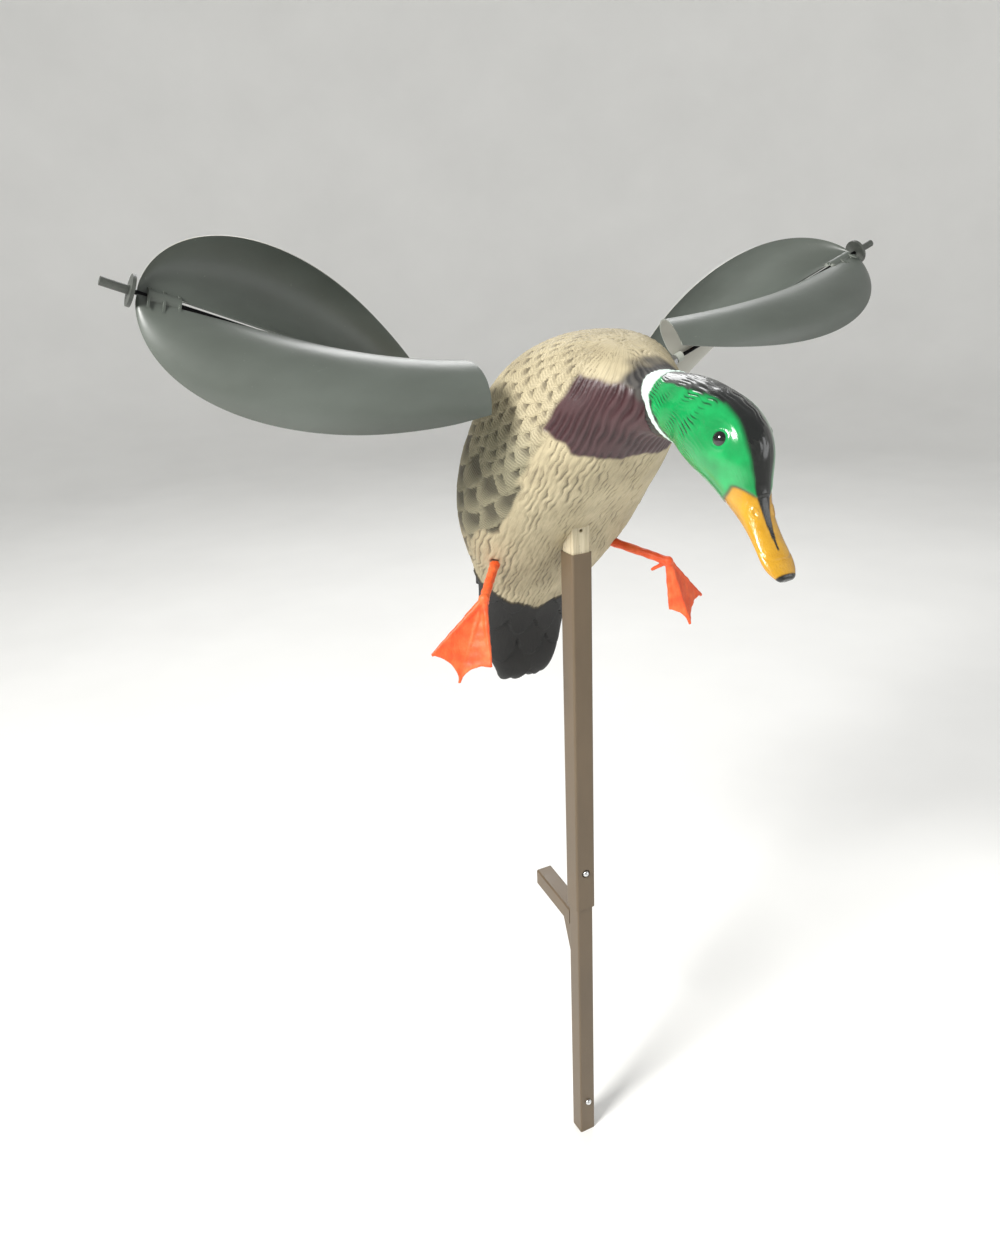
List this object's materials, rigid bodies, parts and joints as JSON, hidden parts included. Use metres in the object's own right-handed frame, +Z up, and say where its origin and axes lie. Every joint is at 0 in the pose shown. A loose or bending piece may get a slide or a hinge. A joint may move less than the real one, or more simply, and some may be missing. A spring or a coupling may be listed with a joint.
{
  "type": "motion wing decoy",
  "caption": "Wind-driven duck decoy with two freely spinning S-shaped wings, landing legs and a two-piece square pole with a foot peg.",
  "frame": {"origin": "centre of the lower pole tube at its open bottom end", "axes": "+Z up along the pole, -Y towards the bill, +X towards the duck's own left wing"},
  "size_m": [0.6512, 0.3564, 0.8468],
  "materials": {
    "painted_steel": "brown satin enamel on steel tube",
    "snap_chrome": "polished nickel-chrome plate",
    "spring_steel": "cold-rolled spring strip",
    "post_paint": "cream paint on a moulded square peg",
    "body_plastic": "blow-moulded plastic, flat decoy paint",
    "head_plastic": "blow-moulded plastic, gloss decoy paint",
    "eye_plastic": "polished black insert",
    "leg_vinyl": "soft moulded vinyl",
    "wing_plastic": "thin moulded polypropylene sheet",
    "rod_steel": "black oxide steel rod",
    "yoke_plastic": "moulded nylon",
    "fastener_steel": "zinc-plated steel",
    "cap_plastic": "moulded grey plastic"
  },
  "bodies": {
    "stake": {"lower_tube": "painted_steel", "upper_tube": "painted_steel", "foot_peg": "painted_steel", "peg_gusset": "painted_steel", "button_clip_lower": "spring_steel", "button_clip_upper": "spring_steel"},
    "button_lower": {"snap_button_lower": "snap_chrome"},
    "button_upper": {"snap_button_upper": "snap_chrome"},
    "decoy": {"mounting_post": "post_paint", "rod_yoke": "yoke_plastic", "yoke_screw": "fastener_steel", "body_shell": "body_plastic", "head": "head_plastic", "eye_right": "eye_plastic", "leg_right": "leg_vinyl", "rod_right": "rod_steel", "set_screw_right": "fastener_steel", "collar_right": "cap_plastic", "end_cap_right": "cap_plastic", "eye_left": "eye_plastic", "leg_left": "leg_vinyl", "rod_left": "rod_steel", "set_screw_left": "fastener_steel", "collar_left": "cap_plastic", "end_cap_left": "cap_plastic"},
    "wing_right": {"wing_right": "wing_plastic"},
    "wing_left": {"wing_left": "wing_plastic"}
  },
  "joints": [
    {"name": "body_lift", "type": "slide", "parent": "stake", "child": "decoy", "axis": [0, 0, 1], "range_m": [0, 0.05]},
    {"name": "wing_right_spin", "type": "hinge", "parent": "decoy", "child": "wing_right", "pos_m": [-0.28843, 0.0259, 0.80812], "axis": [-0.9304, 0, 0.3665], "continuous": true},
    {"name": "wing_left_spin", "type": "hinge", "parent": "decoy", "child": "wing_left", "pos_m": [0.28843, 0.0259, 0.80812], "axis": [0.9304, 0, 0.3665], "continuous": true},
    {"name": "button_lower_press", "type": "slide", "parent": "stake", "child": "button_lower", "axis": [0, 1, 0], "range_m": [0, 0.0039], "stiffness_N_per_m": 1000, "springref_m": -0.003},
    {"name": "button_upper_press", "type": "slide", "parent": "stake", "child": "button_upper", "axis": [0, 1, 0], "range_m": [0, 0.0039], "stiffness_N_per_m": 1000, "springref_m": -0.003}
  ]
}
